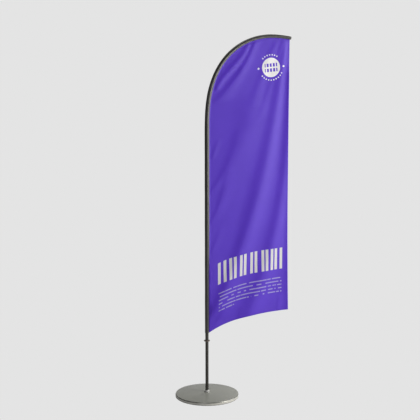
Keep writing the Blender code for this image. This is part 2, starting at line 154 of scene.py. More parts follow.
def linear(code):
    # a screen colour such as #5b3fb8 as linear light
    parts = [int(code[i:i + 2], 16) / 255 for i in (1, 3, 5)]
    return tuple(p / 12.92 if p <= 0.04045 else ((p + 0.055) / 1.055) ** 2.4 for p in parts) + (1.0,)


def newMaterial(name, settings):
    material = bpy.data.materials.new(name)
    material.use_nodes = True
    shader = material.node_tree.nodes["Principled BSDF"]
    for socket, value in settings.items():
        shader.inputs[socket].default_value = value
    return material, material.node_tree, shader


def addNode(tree, kind, *inputs, **settings):
    # one node, by its kind and operation: inputs fill its sockets in order, and settings its sockets and
    # properties by name, with a value or with another node's output; returns its own first output
    kind, _, operation = kind.partition(" ")
    node = tree.nodes.new("ShaderNode" + kind)
    if operation:
        node.operation = operation
    for name, value in settings.items():
        if name not in node.inputs:
            setattr(node, name, value)
    sockets = [socket for socket in node.inputs if socket.enabled]
    named = [(node.inputs[name], value) for name, value in settings.items() if name in node.inputs]
    for socket, value in [*zip(sockets, inputs), *named]:
        if isinstance(value, bpy.types.NodeSocket):
            tree.links.new(value, socket)
        else:
            socket.default_value = value
    return next((socket for socket in node.outputs if socket.enabled), None)


def dress(tree, shader, colour, height, strength, depth):
    # gives the shader its colour and its bump
    tree.links.new(colour, shader.inputs["Base Color"])
    tree.links.new(addNode(tree, "Bump", strength, depth, Height=height), shader.inputs["Normal"])


# camera, lights and floor

view = {
    "side": math.radians(-20),      # the camera stands this far round towards -X
    "distance": 8.935,
    "height": 2.910,
    "downward": math.radians(9.89),
    "turn": math.radians(0.145),    # aimed a little to the right of the pole
    "roll": math.radians(0.06),
    "lens": 111.43,
    "sensor": 36,
    "farthest": 200,
}


def makeCamera():
    data = bpy.data.cameras.new("camera")
    data.lens = view["lens"]
    data.sensor_width = view["sensor"]
    data.clip_end = view["farthest"]
    camera = bpy.data.objects.new("camera", data)
    bpy.context.scene.collection.objects.link(camera)
    side, distance = view["side"], view["distance"]
    camera.matrix_world = (
        Matrix.Translation((math.sin(side) * distance, -math.cos(side) * distance, view["height"]))
        @ Matrix.Rotation(side - view["turn"], 4, "Z")
        @ Matrix.Rotation(math.pi / 2 - view["downward"], 4, "X")
        @ Matrix.Rotation(-view["roll"], 4, "Z")
    )
    bpy.context.scene.camera = camera


# directions as the camera sees them: to its right, and from the flag towards it
rightward = Vector((math.cos(view["side"]), math.sin(view["side"]), 0))
nearward = Vector((math.sin(view["side"]), -math.cos(view["side"]), 0))

softLights = {
    # name: (to the right, towards the viewer, height), (width, height), watts, colour
    "key": ((4.2, 1.7, 2.0), (1.8, 3.8), 134, "#fffcf8"),
    "rim": ((4.0, -0.6, 2.2), (1.0, 3.6), 60, "#ffffff"),
    "top": ((0.2, 0.2, 5.4), (2.6, 2.6), 48, "#ffffff"),
    "front": ((-1.2, 6.0, 3.0), (2.5, 2.5), 26, "#f6f7ff"),
    "back": ((1.0, -6.5, 1.8), (5.0, 3.4), 22, "#ffffff"),
    "behind": ((2.5, -4.8, 4.6), (3.0, 3.0), 170, "#ffffff"),
    "low": ((2.4, 3.2, 0.55), (1.5, 0.6), 3, "#ffffff"),
}


def makeLights():
    aim = Vector((0.1, 0, 1.3))     # half-way up, a little in from the pole
    for name, (place, size, watts, colour) in softLights.items():
        data = bpy.data.lights.new(name, "AREA")
        data.shape = "RECTANGLE"
        data.size, data.size_y = size
        data.energy = watts
        data.color = linear(colour)[:3]
        light = bpy.data.objects.new(name, data)
        light.location = rightward * place[0] + nearward * place[1] + Vector((0, 0, place[2]))
        light.rotation_euler = (aim - light.location).to_track_quat("-Z", "Y").to_euler()
        light.visible_camera = False
        bpy.context.scene.collection.objects.link(light)


stage = {"backdrop": "#e4e4e4", "floor": "#dcdcdc", "ambient": 0.07, "half": 30.0, "level": -0.2 * mm}


def makeStage():
    # the pale floor and the backdrop shine evenly where they are looked at directly,
    # and bounce light as a plain grey surface everywhere else
    world = bpy.data.worlds.new("studio")
    floorPaint = bpy.data.materials.new("studio_floor")
    for owner, seenAs, bouncing, output in (
            (world, "Background", ("Background", (1, 1, 1, 1), stage["ambient"]), "OutputWorld"),
            (floorPaint, "Emission", ("BsdfDiffuse", linear(stage["floor"])), "OutputMaterial")):
        owner.use_nodes = True
        tree = owner.node_tree
        tree.nodes.clear()
        seen = addNode(tree, seenAs, linear(stage["backdrop"]), 1.0)
        isSeen = addNode(tree, "LightPath")
        addNode(tree, output, addNode(tree, "MixShader", isSeen, addNode(tree, *bouncing), seen))
    bpy.context.scene.world = world
    half, level = stage["half"], stage["level"]
    corners = [(-half, -half, level), (half, -half, level), (half, half, level), (-half, half, level)]
    floor = addMesh("floor", corners, [[0, 1, 2, 3]], floorPaint)


makeCamera()
makeLights()
makeStage()
bpy.context.scene.view_settings.view_transform = "Standard"
print("stage ready")


# the pole's line and the cloth's outline, from the frame

# the pole is straight up to bendStart and bends over along bendLength; the bottom edge rises from hemLow
# by up to hemRise, most of it within hemReach of the pole
flag = {
    "bendStart": 1.89, "bendLength": 1.07, "bendTurn": math.radians(99.5), "bendRise": 1.0, "bendFall": 0.6,
    "sleeveFoot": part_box("pole_sleeve")[0].z,
    "lineEnd": 2.9685,
    "freeEdge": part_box("side_hem")[1].x,
    "hemLow": 0.457, "hemRise": 0.1356, "hemReach": 0.211,
}


def runningSum(values, places):
    # the area under the values, from the first place to each place
    return np.concatenate([[0], np.cumsum((values[1:] + values[:-1]) / 2 * np.diff(places))])


def bentLine(count=2000):
    # bending grows as part^rise x (1 - part)^fall; its sum is the turn, and the sums of the turn's
    # sine and cosine are the way across and up
    part = np.linspace(0, 1, count)
    turn = runningSum(part ** flag["bendRise"] * (1 - part) ** flag["bendFall"], part)
    turn *= flag["bendTurn"] / turn[-1]
    along = part * flag["bendLength"]
    return along, runningSum(np.sin(turn), along), runningSum(np.cos(turn), along), turn


lineTable = bentLine()


def poleAt(along):
    # x, z and turn of the pole's line; along is the height on the straight stretch
    along = np.asarray(along, float)
    distance, across, rise, turns = lineTable
    bent = np.clip(along - flag["bendStart"], 0, flag["bendLength"])
    beyond = along - flag["bendStart"] - bent
    turn = np.interp(bent, distance, turns)
    x = np.interp(bent, distance, across) + beyond * np.sin(turn)
    z = flag["bendStart"] + np.interp(bent, distance, rise) + beyond * np.cos(turn)
    return x, z, turn


def hemHeight(x):
    # height of the bottom edge: low + rise x (1 - e^(-x / reach))
    return flag["hemLow"] + flag["hemRise"] * (1 - np.exp(-x / flag["hemReach"]))


# the sleeve's section: how far it reaches outwards, inwards to the seam, and to either side
sleeve = {"outer": (14.0 * mm, 10.2 * mm), "inner": (17.5 * mm, 13.0 * mm), "side": (13.4 * mm, 9.0 * mm),
          "wedge": 0.38, "corner": 0.92, "wall": 0.8 * mm, "girth": 85 * mm, "cap": 1.6 * mm,
          "capRound": 0.45, "capTurns": (25, 50, 72, 90), "openEnd": 6, "footClear": 0.2 * mm,
          "rows": 420, "around": 56}


def taper(pair, along):
    # from the first value on the straight stretch to the second at the tip
    part = np.clip((along - flag["bendStart"]) / (flag["lineEnd"] - flag["bendStart"]), 0, 1)
    return pair[0] + (pair[1] - pair[0]) * part


# cloth materials

cloth = {"purple": "#572ad0", "deep": "#5126c8", "between": "#2c1470", "ink": "#f4f3f4",
         "dullInk": "#dbdadb", "roughness": 0.5,
         "thread": 2.4 * mm}    # threads are 0.35 mm, drawn seven times as coarse so that they show

# places and sizes in metres, arcs in degrees, shares of one step
emblem = {"x": 0.478, "z": 2.332, "radius": 0.0675, "lean": math.radians(4.5),
          "barStep": 0.0235, "barShare": (0.18, 0.82), "upperRow": (0.0045, 0.0285),
          "lowerRow": (-0.0305, -0.0065), "rowHalf": 0.047,
          "ring": 0.088, "ringHalf": 0.0045, "marks": 29, "markShare": (0.28, 0.72),
          "topArc": (47, 135), "lowArc": (208, 334), "dots": 0.094, "dotRadius": 0.0070}

# the tall bars stand in groups (left, right, bars), and the dashes below them in lines
banner = {"groups": ((0.083, 0.188, 3), (0.200, 0.267, 2), (0.277, 0.349, 2), (0.361, 0.434, 2),
                     (0.443, 0.503, 2), (0.513, 0.575, 2)),
          "bar": 0.021, "foot": 0.308, "top": 0.462, "lines": 6, "firstLine": 0.243, "lineStep": 0.0250,
          "lineHeight": 0.0080, "left": 0.085, "right": 0.572, "shortLine": 0.205,
          "wordScale": 34.0, "wordRow": 0.7, "wordEdge": (0.40, 0.44), "dashStep": 0.0085,
          "dashShare": (0.18, 0.82), "gapInk": 0.35, "strength": 0.52}


def between(tree, value, low, high, soft=0.0006):
    # 1 where low < value < high, with a soft edge
    rise = addNode(tree, "MapRange", value, low - soft, low + soft)
    fall = addNode(tree, "MapRange", value, high - soft, high + soft, 1.0, 0.0)
    return addNode(tree, "Math MULTIPLY", rise, fall)


def lengthOf(tree, across, up):
    # square root of across^2 + up^2
    acrossSquared = addNode(tree, "Math MULTIPLY", across, across)
    total = addNode(tree, "Math MULTIPLY_ADD", up, up, acrossSquared)
    return addNode(tree, "Math SQRT", total)


def emblemMask(tree, x, z):
    # a disc with two rows of short bars left out of it, and a ring of short marks round it
    ax = addNode(tree, "Math SUBTRACT", x, emblem["x"])
    az = addNode(tree, "Math SUBTRACT", z, emblem["z"])
    c, s = math.cos(emblem["lean"]), math.sin(emblem["lean"])
    dx = addNode(tree, "Math MULTIPLY_ADD", ax, c, addNode(tree, "Math MULTIPLY", az, s))
    dz = addNode(tree, "Math MULTIPLY_ADD", az, c, addNode(tree, "Math MULTIPLY", ax, -s))
    radius = lengthOf(tree, dx, dz)
    disc = between(tree, radius, -1, emblem["radius"])
    barsInMetre = 1 / emblem["barStep"]
    step = addNode(tree, "Math FRACT", addNode(tree, "Math MULTIPLY_ADD", dx, barsInMetre, barsInMetre))
    bars = between(tree, step, *emblem["barShare"], 0.03)
    upper = between(tree, dz, *emblem["upperRow"])
    lower = between(tree, dz, *emblem["lowerRow"])
    inside = between(tree, dx, -emblem["rowHalf"], emblem["rowHalf"])
    rows = addNode(tree, "Math MULTIPLY", bars, addNode(tree, "Math ADD", upper, lower))
    rows = addNode(tree, "Math MULTIPLY", rows, inside)
    disc = addNode(tree, "Math MULTIPLY", disc, addNode(tree, "Math SUBTRACT", 1.0, rows))
    degrees = addNode(tree, "Math MULTIPLY", addNode(tree, "Math ARCTAN2", dz, dx), 180 / math.pi)
    angle = addNode(tree, "Math WRAP", degrees, 360.0, 0.0)
    beat = addNode(tree, "Math FRACT", addNode(tree, "Math MULTIPLY", angle, emblem["marks"] / 360))
    marks = between(tree, beat, *emblem["markShare"], 0.04)
    ring = between(tree, radius, emblem["ring"] - emblem["ringHalf"], emblem["ring"] + emblem["ringHalf"])
    topArc = between(tree, angle, *emblem["topArc"], 0.5)
    lowArc = between(tree, angle, *emblem["lowArc"], 0.5)
    ring = addNode(tree, "Math MULTIPLY", ring, marks)
    ring = addNode(tree, "Math MULTIPLY", ring, addNode(tree, "Math ADD", topArc, lowArc))
    dotX = addNode(tree, "Math SUBTRACT", addNode(tree, "Math ABSOLUTE", dx), emblem["dots"])
    dots = between(tree, lengthOf(tree, dotX, dz), -1, emblem["dotRadius"])
    return addNode(tree, "Math MAXIMUM", addNode(tree, "Math MAXIMUM", disc, ring), dots)


def bannerMask(tree, x, rise):
    # a row of tall bars, then lines of short dashes, both parallel to the bottom edge
    bars = 0.0
    for left, right, count in banner["groups"]:
        pitch = (right - left - banner["bar"]) / (count - 1)
        beat = addNode(tree, "Math FRACT", addNode(tree, "Math MULTIPLY_ADD", x, 1 / pitch, -left / pitch))
        group = between(tree, beat, 0.0, banner["bar"] / pitch, 0.02)
        group = addNode(tree, "Math MULTIPLY", group, between(tree, x, left, right))
        bars = addNode(tree, "Math MAXIMUM", bars, group)
    row = addNode(tree, "Math MULTIPLY", bars, between(tree, rise, banner["foot"], banner["top"]))

    below = addNode(tree, "Math SUBTRACT", banner["firstLine"] + banner["lineStep"] / 2, rise)
    stepsDown = addNode(tree, "Math MULTIPLY", below, 1 / banner["lineStep"])
    lineNumber = addNode(tree, "Math FLOOR", stepsDown)
    inLine = addNode(tree, "Math FRACT", stepsDown)
    half = banner["lineHeight"] / banner["lineStep"] / 2
    ink = between(tree, inLine, 0.5 - half, 0.5 + half, 0.03)
    lines = between(tree, lineNumber, -0.5, banner["lines"] - 0.5, 0.1)
    # each line takes another row of the noise, whose low places are the gaps between its dashes
    place = addNode(tree, "CombineXYZ", x, addNode(tree, "Math MULTIPLY", lineNumber, banner["wordRow"]))
    words = addNode(tree, "TexNoise", place, Scale=banner["wordScale"], Detail=1.0)
    word = addNode(tree, "MapRange", words, *banner["wordEdge"])
    step = addNode(tree, "Math FRACT", addNode(tree, "Math MULTIPLY", x, 1 / banner["dashStep"]))
    dashes = between(tree, step, *banner["dashShare"], 0.1)
    dashes = addNode(tree, "Math MULTIPLY_ADD", dashes, 1 - banner["gapInk"], banner["gapInk"])
    lastLine = between(tree, lineNumber, banner["lines"] - 1.5, banner["lines"], 0.1)
    end = banner["shortLine"]
    beyond = addNode(tree, "MapRange", x, end, end + 1 * mm)
    short = addNode(tree, "Math SUBTRACT", 1.0, addNode(tree, "Math MULTIPLY", lastLine, beyond))
    width = between(tree, x, banner["left"], banner["right"])
    for factor in (lines, word, dashes, short, width):
        ink = addNode(tree, "Math MULTIPLY", ink, factor)
    return addNode(tree, "Math MAXIMUM", row, addNode(tree, "Math MULTIPLY", ink, banner["strength"]))


def knitLoops(tree, flat, wide, tall):
    # sine across x sine along, one wave for each loop of the knit
    x, z, _ = addNode(tree, "SeparateXYZ", flat).node.outputs
    across = addNode(tree, "Math SINE", addNode(tree, "Math MULTIPLY", x, math.tau / wide))
    along = addNode(tree, "Math SINE", addNode(tree, "Math MULTIPLY", z, math.tau / tall))
    return addNode(tree, "Math MULTIPLY", across, along)


def flagCloth():
    # knitted polyester, dye-printed: a soft satin gloss over a deep colour, with darker gaps between threads
    material, tree, shader = newMaterial("printed_knitted_polyester", {
        "Roughness": cloth["roughness"], "Specular IOR Level": 0.5})
    flat = addNode(tree, "UVMap", uv_map="flat")
    fromHem = addNode(tree, "UVMap", uv_map="print")
    emblemInk = emblemMask(tree, *addNode(tree, "SeparateXYZ", flat).node.outputs[:2])
    bannerInk = bannerMask(tree, *addNode(tree, "SeparateXYZ", fromHem).node.outputs[:2])
    cloudy = addNode(tree, "TexNoise", flat, Scale=9.0, Detail=3.0)
    dyed = addNode(tree, "Mix", cloudy, linear(cloth["purple"]), linear(cloth["deep"]), data_type="RGBA")
    loops = knitLoops(tree, flat, cloth["thread"], cloth["thread"] / 0.8)
    shade = addNode(tree, "MapRange", loops, -1, 1, 0.0, 0.10)
    dyed = addNode(tree, "Mix", shade, dyed, linear(cloth["between"]), data_type="RGBA")
    colour = addNode(tree, "Mix", emblemInk, dyed, linear(cloth["ink"]), data_type="RGBA")
    colour = addNode(tree, "Mix", bannerInk, colour, linear(cloth["dullInk"]), data_type="RGBA")
    dress(tree, shader, colour, loops, 0.06, 0.3 * mm)
    return material


def sleeveCloth():
    # warp-knitted elastic nylon, near black, with a long highlight down its stretched side
    # (loops of 0.4 x 0.5 mm, drawn at 2.2 x 3 mm so that they show)
    material, tree, shader = newMaterial("elastic_nylon_sleeve", {
        "Roughness": 0.30, "Specular IOR Level": 0.8})
    flat = addNode(tree, "UVMap", uv_map="flat")
    worn = addNode(tree, "TexNoise", flat, Scale=22.0, Detail=4.0)
    colour = addNode(tree, "Mix", worn, linear("#262521"), linear("#302e29"), data_type="RGBA")
    dress(tree, shader, colour, knitLoops(tree, flat, 2.2 * mm, 3.0 * mm), 0.12, 0.3 * mm)
    return material


def strapWebbing():
    # woven nylon webbing: black, with a diagonal rib (1.2 mm, drawn at 1.5 mm)
    material, tree, shader = newMaterial("woven_nylon_webbing", {"Roughness": 0.5, "Specular IOR Level": 0.4})
    x, z, _ = addNode(tree, "SeparateXYZ", addNode(tree, "UVMap", uv_map="flat")).node.outputs
    slant = addNode(tree, "Math ADD", addNode(tree, "Math ABSOLUTE", x), z)
    rib = addNode(tree, "Math SINE", addNode(tree, "Math MULTIPLY", slant, math.tau / (1.5 * mm)))
    shade = addNode(tree, "MapRange", rib, -1, 1)
    colour = addNode(tree, "Mix", shade, linear("#1c1b18"), linear("#34322d"), data_type="RGBA")
    dress(tree, shader, colour, rib, 0.3, 0.3 * mm)
    return material


# hard materials

def coated(name, settings, light, dark, grain, depth, strength=0.25, paintedLightBands=()):
    # a paint or anodised film: two close tones in soft clouds about 70 mm wide, and a fine grain as bump
    material, tree, shader = newMaterial(name, settings)
    place = addNode(tree, "TexCoord").node.outputs["Object"]
    clouds = addNode(tree, "TexNoise", place, Scale=14.0, Detail=4.0)
    colour = addNode(tree, "Mix", clouds, linear(light), linear(dark), data_type="RGBA")
    for low, high, shade in paintedLightBands:
        # painted light and shade: the coat turns to another colour below this height
        height = addNode(tree, "SeparateXYZ", place).node.outputs["Z"]
        below = addNode(tree, "MapRange", height, low, high, 1.0, 0.0)
        colour = addNode(tree, "Mix", below, colour, linear(shade), data_type="RGBA")
    fine = addNode(tree, "TexNoise", place, Scale=1 / grain, Detail=2.0)
    dress(tree, shader, colour, fine, strength, depth)
    return material


# powder coat: even grey, satin, with the faint orange peel of baked powder (0.8 mm, drawn at 3 mm);
# its side is painted paler as painted light, and its foot is painted darker as painted shade from the floor
plateCoat = coated("grey_powder_coat", {"Roughness": 0.27, "Specular IOR Level": 0.6},
                   "#96978e", "#909188", 3 * mm, 0.05 * mm, 0.10,
                   paintedLightBands=((18 * mm, 19 * mm, "#d0cfc6"), (5 * mm, 6 * mm, "#68675f")))
# the same coat on the hub, painted paler as a painted highlight
hubCoat = coated("powder_coat_painted_highlight", {"Roughness": 0.20, "Specular IOR Level": 0.8},
                 "#c4c4be", "#bababa", 3 * mm, 0.05 * mm, 0.10)
# burnished steel: dark where the room is dark, bright towards a light
bandSteel = coated("burnished_edge_band", {"Roughness": 0.31, "Metallic": 1.0},
                   "#9c9c96", "#92928c", 3 * mm, 0.03 * mm, 0.05)
# the same coat in near black on the post
postCoat = coated("black_powder_coat", {"Roughness": 0.36, "Specular IOR Level": 0.5},
                  "#3c3a34", "#36342e", 3 * mm, 0.05 * mm, 0.06)
# anodised tube: a thin dark film, smoother than paint
poleCoat = coated("black_anodised_aluminium", {"Roughness": 0.33, "Specular IOR Level": 0.6},
                  "#383630", "#32302b", 2 * mm, 0.03 * mm, 0.06)
# moulded nylon: a warm brown-grey, half matt
ringPlastic = coated("brown_moulded_nylon", {"Roughness": 0.38, "Specular IOR Level": 0.5},
                     "#74685e", "#665b52", 2 * mm, 0.05 * mm)
# moulded rubber: black and matt
rubber = coated("moulded_rubber", {"Roughness": 0.85, "Specular IOR Level": 0.3},
                "#1d1d1d", "#161616", 2 * mm, 0.15 * mm)
# glass-fibre rod: black resin, half gloss
fibre = coated("glass_fibre_rod", {"Roughness": 0.4, "Specular IOR Level": 0.5},
               "#1b1b1b", "#151515", 4 * mm, 0.03 * mm)
# turned bright steel: clear highlights, fine turning marks
steel = coated("turned_bright_steel", {"Roughness": 0.28, "Metallic": 1.0},
               "#bdbdc0", "#b0b0b4", 1 * mm, 0.02 * mm)
# mill-finish steel: darker and rough
millSteel = coated("mill_finish_steel", {"Roughness": 0.55, "Metallic": 1.0},
                   "#8d8b88", "#7a7875", 2 * mm, 0.08 * mm)
# spun polyester sewing thread: round, half matt, a little darker than what it sews
hemThread = coated("purple_sewing_thread", {"Roughness": 0.6, "Specular IOR Level": 0.4},
                   "#4a22b4", "#421da4", 1 * mm, 0.05 * mm)
sleeveThread = coated("black_sewing_thread", {"Roughness": 0.6, "Specular IOR Level": 0.4},
                      "#262420", "#1f1d1a", 1 * mm, 0.05 * mm)
flagPrint = flagCloth()
webbing = strapWebbing()
sleeveKnit = sleeveCloth()

finishes = {
    rubber: ("anti_slip_mat", "stop_ferrule_1", "stop_ferrule_2", "stop_ferrule_3", "tip_cap"),
    millSteel: ("ballast_disc", "spacer_boss", "post_insert", "bearing_seat", "outer_spacer", "inner_spacer",
                "spigot_pin"),
    steel: ("clamp_bolt", "clamp_washer", "outer_race_lower", "outer_race_upper", "inner_race_lower",
            "inner_race_upper", "ball_cage_lower", "ball_cage_upper", "retaining_ring", "lock_nut",
            "journal_shaft", "spigot_tube", "strap_stud"),
    poleCoat: ("pole_middle", "pole_upper"),
    fibre: ("pole_tip",),
}
for material, names in finishes.items():
    for name in names:
        nodes[name].data.materials.clear()
        nodes[name].data.materials.append(material)
print("materials ready")


# foot plate

plate = {"sheet": 2.0 * mm, "shoulder": 1.2 * mm, "band": 4.4 * mm, "setBack": 2.6 * mm, "recess": 0.7 * mm,
         "ledge": 1.2 * mm, "lip": 3.4 * mm, "rim": 24.5 * mm, "hole": 6.6 * mm, "segments": 288}


def makePlate():
    # the cover's outside from the bolt hole outwards: a shallow dome, a tight shoulder, a recess for the
    # edge band, a small rounded ledge, a straight side and a lip that turns in; the inside is the same
    # line set in by the sheet
    low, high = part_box("base_cover")
    radius, crown, rim = high.x, high.z, plate["rim"]
    edge = radius - plate["setBack"] - plate["shoulder"]
    r = np.linspace(plate["hole"], edge, 40)
    top = np.stack([r, crown - (crown - rim) * (r / edge) ** 2], 1)
    turn = np.radians(np.linspace(86, 10, 9))
    shoulder = np.stack([edge + plate["shoulder"] * np.cos(turn),
                         rim - plate["shoulder"] * (1 - np.sin(turn))], 1)
    bandTop = rim - plate["shoulder"]
    bandFoot = bandTop - plate["band"]
    recess = edge + plate["shoulder"] - plate["recess"]
    wall = np.array([[recess, bandTop - 0.4 * mm], [recess, bandFoot]])
    turn = np.radians(np.linspace(80, 0, 8))
    side = np.stack([radius - plate["ledge"] * (1 - np.cos(turn)),
                     bandFoot - plate["ledge"] * (1 - np.sin(turn))], 1)
    turn = np.radians(np.linspace(0, -88, 10))
    lip = np.stack([radius - plate["lip"] * (1 - np.cos(turn)),
                    low.z + plate["lip"] * (1 + np.sin(turn))], 1)
    outer = np.concatenate([top, shoulder, wall, side, lip])
    along = np.gradient(outer, axis=0)
    along /= np.linalg.norm(along, axis=1)[:, None]
    inner = outer + np.stack([along[:, 1], -along[:, 0]], 1) * plate["sheet"]
    inner[0, 0] = plate["hole"]
    outline = np.concatenate([outer, inner[::-1]])
    cover = turnedPiece("plate_cover", outline, plateCoat, plate["segments"])
    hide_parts("base_cover")
    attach(cover, "base")

    # the band fills the recess and leans out towards its foot, each corner as (radius, height, rounding)
    back, top, foot = recess + 0.1 * mm, bandTop - 0.5 * mm, bandFoot + 0.1 * mm
    outline = roundedOutline([
        (back, top, 0.2 * mm), (recess + 0.9 * mm, top, 0.3 * mm),
        (radius - 0.9 * mm, foot, 0.3 * mm), (back, foot, 0.2 * mm)])
    band = turnedPiece("cover_edge_band", outline, bandSteel, plate["segments"])
    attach(band, "base")


makePlate()


# hub, post, ring and bottom section

hub = {"clearance": 0.3 * mm, "wall": 2.1 * mm, "flare": 1.2 * mm, "flareDrop": 4 * mm, "brim": 2.2 * mm}
ring = {"bore": 7.0 * mm, "rounding": 3.2 * mm}


def makeHub():
    # a turned cone with a hollow flank and a low brim, each corner as (radius, height, rounding)
    low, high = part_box("hub_flange")
    bore, foot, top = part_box("spindle_post")[1].x + hub["clearance"], low.z, high.z
    neck = bore + hub["wall"]
    outline = roundedOutline([
        (bore, top, 0.4 * mm), (neck, top, 0.8 * mm), (neck + hub["flare"], top - hub["flareDrop"], 3 * mm),
        (high.x, foot + hub["brim"], 1.0 * mm), (high.x, foot, 0.3 * mm), (bore, foot, 0)])
    piece = turnedPiece("post_hub", outline, hubCoat)
    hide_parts("hub_flange")
    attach(piece, "base")


def makeTube(name, node, wall, material, body, rounding=0.5 * mm):
    # an open tube with rounded rims, as long and as wide as the node
    low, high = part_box(node)
    radius = high.x
    bore = radius - wall
    outline = roundedOutline([(radius, high.z, rounding), (radius, low.z, rounding),
                              (bore, low.z, 0.2 * mm), (bore, high.z, 0.2 * mm)])
    tube = turnedPiece(name, outline, material, 64)
    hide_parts(node)
    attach(tube, body)


def makeRing():
    # a flat ring whose outer corners are rounded
    low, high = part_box("stop_ring")
    bore, rounding = ring["bore"], ring["rounding"]
    outline = roundedOutline([(bore, high.z, 0), (high.x, high.z, rounding), (high.x, low.z, rounding),
                              (bore, low.z, 0)], 8)
    piece = turnedPiece("pole_stop_ring", outline, ringPlastic)
    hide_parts("stop_ring")
    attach(piece, "rotor")


makeHub()
makeTube("post_tube", "spindle_post", 1.6 * mm, postCoat, "base")
makeTube("bottom_section", "pole_bottom", 1.7 * mm, poleCoat, "pole")
makeRing()
print("base, post and ring ready")


# pole sleeve

# the cloth leaves the sleeve's front flank high up and its back flank near the bottom
seamLean = {"front": 5.0 * mm, "frontFrom": 0.90, "frontOver": 0.25,
            "back": 2.0 * mm, "backFrom": 1.05, "backOver": 0.2}


def seamRoll(z):
    # how far towards the front the cloth leaves the sleeve at this height
    front = seamLean["front"] * smooth((z - seamLean["frontFrom"]) / seamLean["frontOver"])
    return front - seamLean["back"] * smooth((seamLean["backFrom"] - z) / seamLean["backOver"])


def sleeveRings(along, angle, shrink=0.0):
    # rings round the pole's line: outwards, inwards and sideways reach blend round the ring, and
    # the inner side draws to a blunt wedge that leans to the side where the cloth leaves it
    x0, z0, turn = (v[:, None] for v in poleAt(along))
    outer = taper(sleeve["outer"], along)[:, None] - shrink
    inner = taper(sleeve["inner"], along)[:, None] - shrink
    side = taper(sleeve["side"], along)[:, None] - shrink
    c, s = np.cos(angle)[None], np.sin(angle)[None]
    reach = np.where(c > 0, inner * c, outer * c)
    wedge = 1 - sleeve["wedge"] * smooth((c - 0.1) / 0.9)
    width = side * np.sign(s) * np.abs(s) ** sleeve["corner"] * wedge - seamRoll(z0) * np.clip(c, 0, 1) ** 2
    soft = crinkle(along[:, None], angle[None]) if shrink == 0 else 0
    reach = reach * (1 + soft)
    width = width * (1 + soft)
    return np.stack([x0 + reach * np.cos(turn), width + 0 * turn, z0 - reach * np.sin(turn)], -1)


# waves of the sleeve's knit as (share of its width, radians per metre); the close ones are on the bend
wave = {"slow": (0.010, 21), "second": (0.007, 47), "close": (0.016, 118), "bend": (1.95, 2.9), "over": 0.25}


def crinkle(along, angle):
    # slight uneven stretch of the knit: sines along the sleeve, turned a little with the angle
    start, end = wave["bend"]
    onBend = smooth((along - start) / wave["over"]) * smooth((end - along) / wave["over"])
    height, often = wave["slow"]
    slow = height * np.sin(along * often + 1.3 * np.sin(angle))
    height, often = wave["second"]
    slow += height * np.sin(along * often + 2 * angle)
    height, often = wave["close"]
    close = height * np.sin(along * often + 1.5 * np.sin(angle * 2))
    return slow + close * onBend * (0.5 + 0.5 * np.cos(angle))


def makeSleeve():
    # an outer skin carried along the pole's line, closed by a rounded cap, and the same skin set in by
    # the wall as the inside, which ends a little before the cap
    angle = np.linspace(0, math.tau, sleeve["around"], endpoint=False)
    rows, shorter, cap = sleeve["rows"], sleeve["rows"] - sleeve["openEnd"], sleeve["cap"]
    along = np.linspace(flag["sleeveFoot"] + sleeve["footClear"], flag["lineEnd"], rows)
    outer = sleeveRings(along, angle)
    centre = outer[-1].mean(0)
    turn = poleAt(along[-1:])[2][0]
    forward = np.array([np.sin(turn), 0, np.cos(turn)])
    closing = []
    for part in np.radians(sleeve["capTurns"]):
        shrink = max(np.cos(part) ** sleeve["capRound"], 0.0)
        closing.append(centre + (outer[-1] - centre) * shrink + forward * cap * np.sin(part))
    closing[-1] = np.repeat((centre + forward * cap)[None], len(angle), 0)
    inner = sleeveRings(along[:shorter], angle, sleeve["wall"])
    end = inner[-1].mean(0)
    innerEnd = np.stack([end + (inner[-1] - end) * k for k in (0.6, 0.0)])
    points = np.concatenate([innerEnd[::-1], inner[::-1], outer, np.stack(closing)])
    lengths = np.concatenate([[along[shorter - 1]] * 2, along[:shorter][::-1], along,
                              [along[-1]] * len(closing)])
    girth = angle / math.tau * sleeve["girth"]
    uv = np.stack(np.meshgrid(lengths, girth, indexing="ij"), -1)[..., ::-1]
    quads = gridQuads(len(points), len(angle), wrapCols=True, flip=True)
    tube = weld(addMesh("sleeve_tube", points, quads, sleeveKnit, {"flat": uv}))
    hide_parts("pole_sleeve", "tip_pocket")
    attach(tube, "pole")
    print("sleeve", len(tube.data.polygons))


makeSleeve()


# flag cloth

panel = {"cols": 132, "rows": 370, "thick": 0.35 * mm, "hem": 10 * mm, "hemThick": 0.9 * mm,
         "hemStep": 1.0 * mm, "seamInset": 3.0 * mm, "footClear": 0.5 * mm, "tipClear": 8 * mm,
         "closer": 0.20, "sagPower": 7, "tipShare": 0.06, "foldFade": 24 * mm, "rollFade": 10 * mm}

# the free edge is drawn in a little, most at half-way between the tip and the bottom corner
freeEdge = {"in": 5.5 * mm, "bow": 9 * mm, "middle": 1.65}

